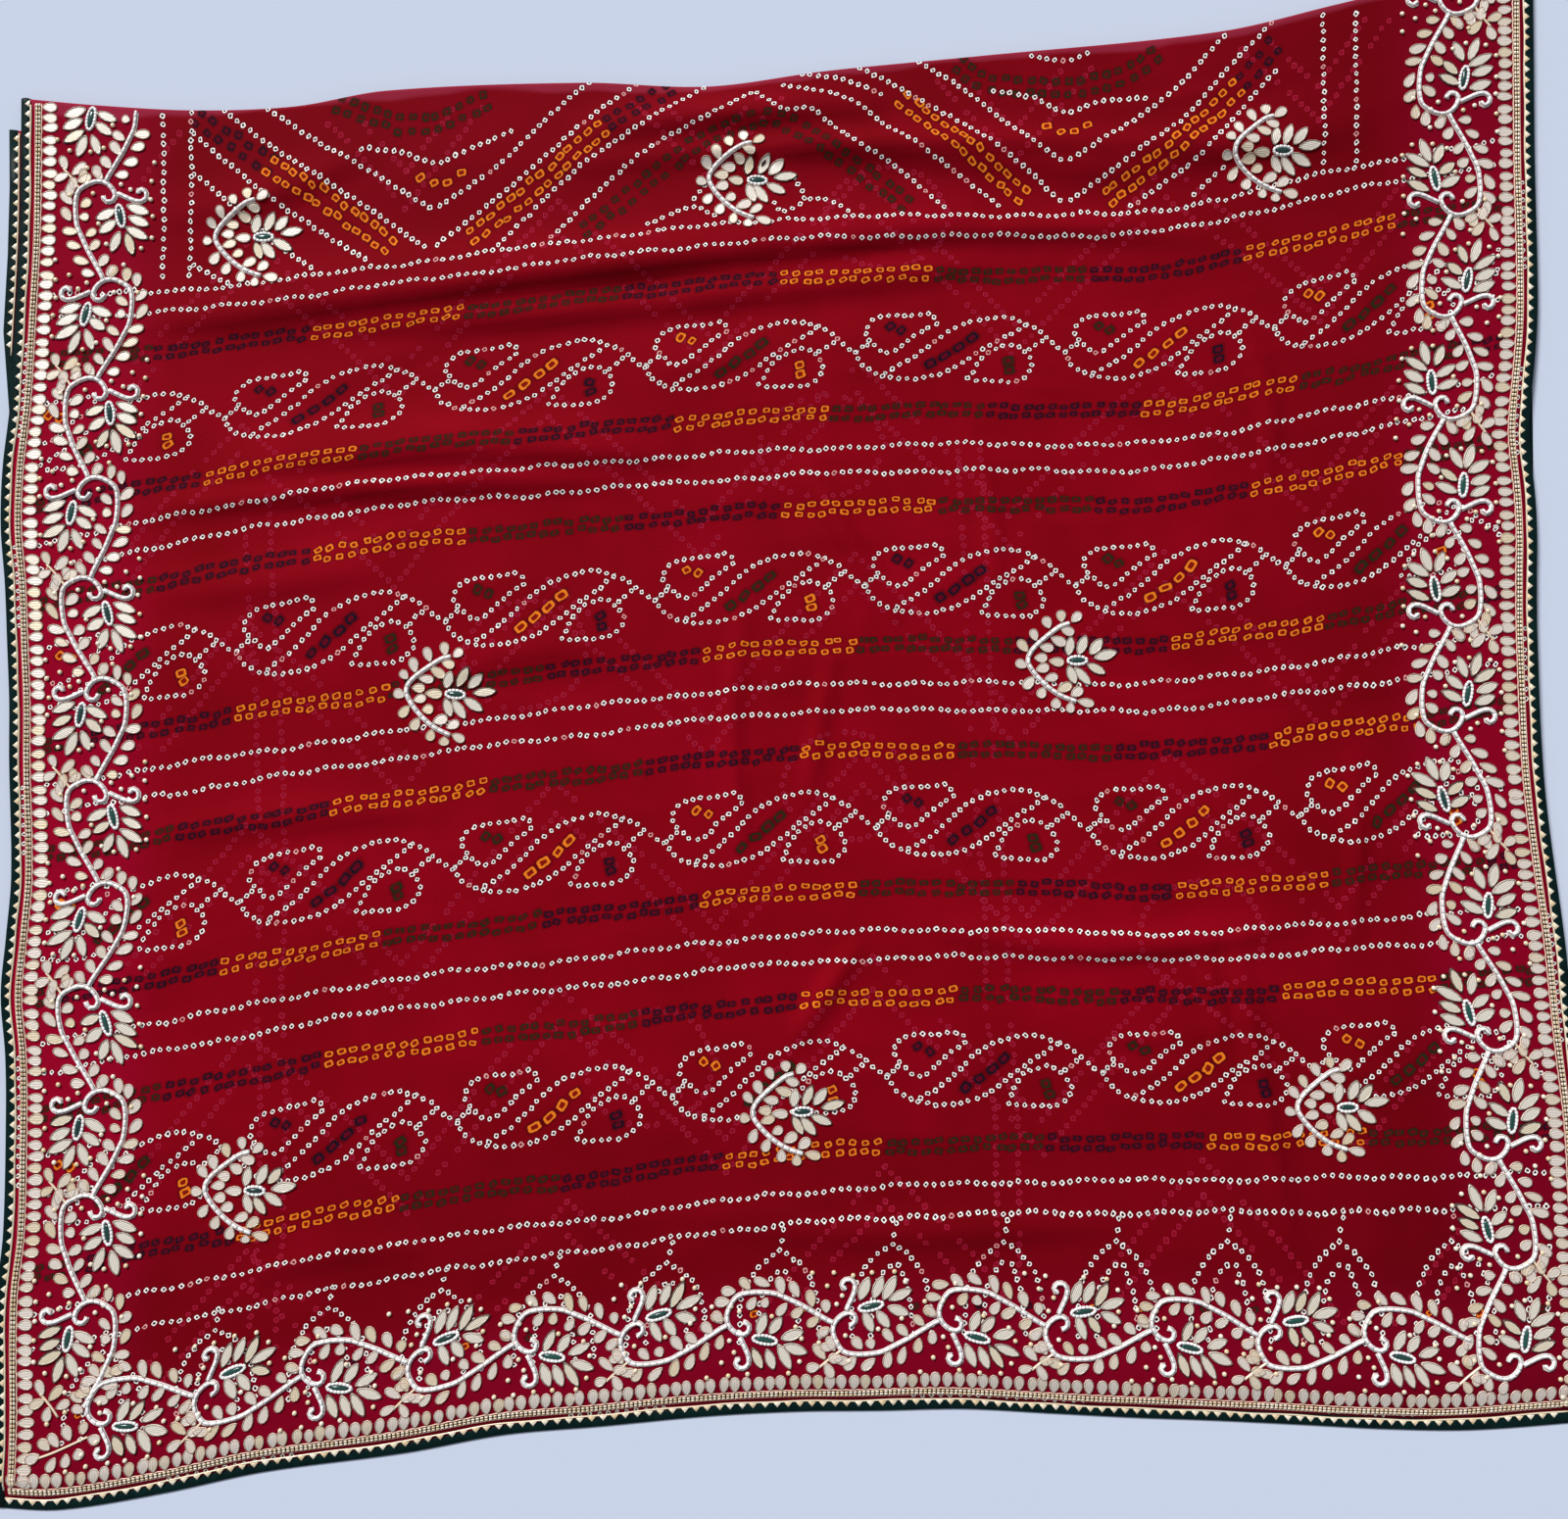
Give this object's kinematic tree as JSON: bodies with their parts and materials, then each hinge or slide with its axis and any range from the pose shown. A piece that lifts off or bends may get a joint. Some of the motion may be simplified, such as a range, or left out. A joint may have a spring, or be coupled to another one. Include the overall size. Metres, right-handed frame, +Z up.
{
  "type": "folded bandhani cloth",
  "caption": "Long tie-dyed georgette cloth folded back and forth and laid flat, with green piping and a beaded leaf border on the front layer.",
  "frame": {"origin": "middle of the footprint, on the floor that the cloth lies on", "axes": "X across the cloth from left to right, Y from the decorated hem to the top fold, Z up"},
  "size_m": [1.1456, 1.118, 0.015],
  "materials": {
    "cloth": "crimson crinkled georgette, matt, tie-dyed with white, orange, green and navy dots",
    "piping": "dark green satin piping",
    "lace": "gold metallic thread lace",
    "bead_line": "two rows of small gold bugle beads sewn on",
    "embroidery": "pale gold gota ribbon leaves with white bugle beads"
  },
  "bodies": {
    "root": {"folded_cloth": "cloth", "piping_left": "piping", "piping_right": "piping", "piping_hem": "piping", "gold_lace": "lace", "bead_line": "bead_line", "vine_left": "embroidery", "vine_hem": "embroidery", "vine_right": "embroidery", "sprig_top_left": "embroidery", "sprig_top_middle": "embroidery", "sprig_top_right": "embroidery", "sprig_middle_left": "embroidery", "sprig_middle_right": "embroidery", "sprig_low_left": "embroidery", "sprig_low_middle": "embroidery", "sprig_low_right": "embroidery"}
  },
  "joints": []
}
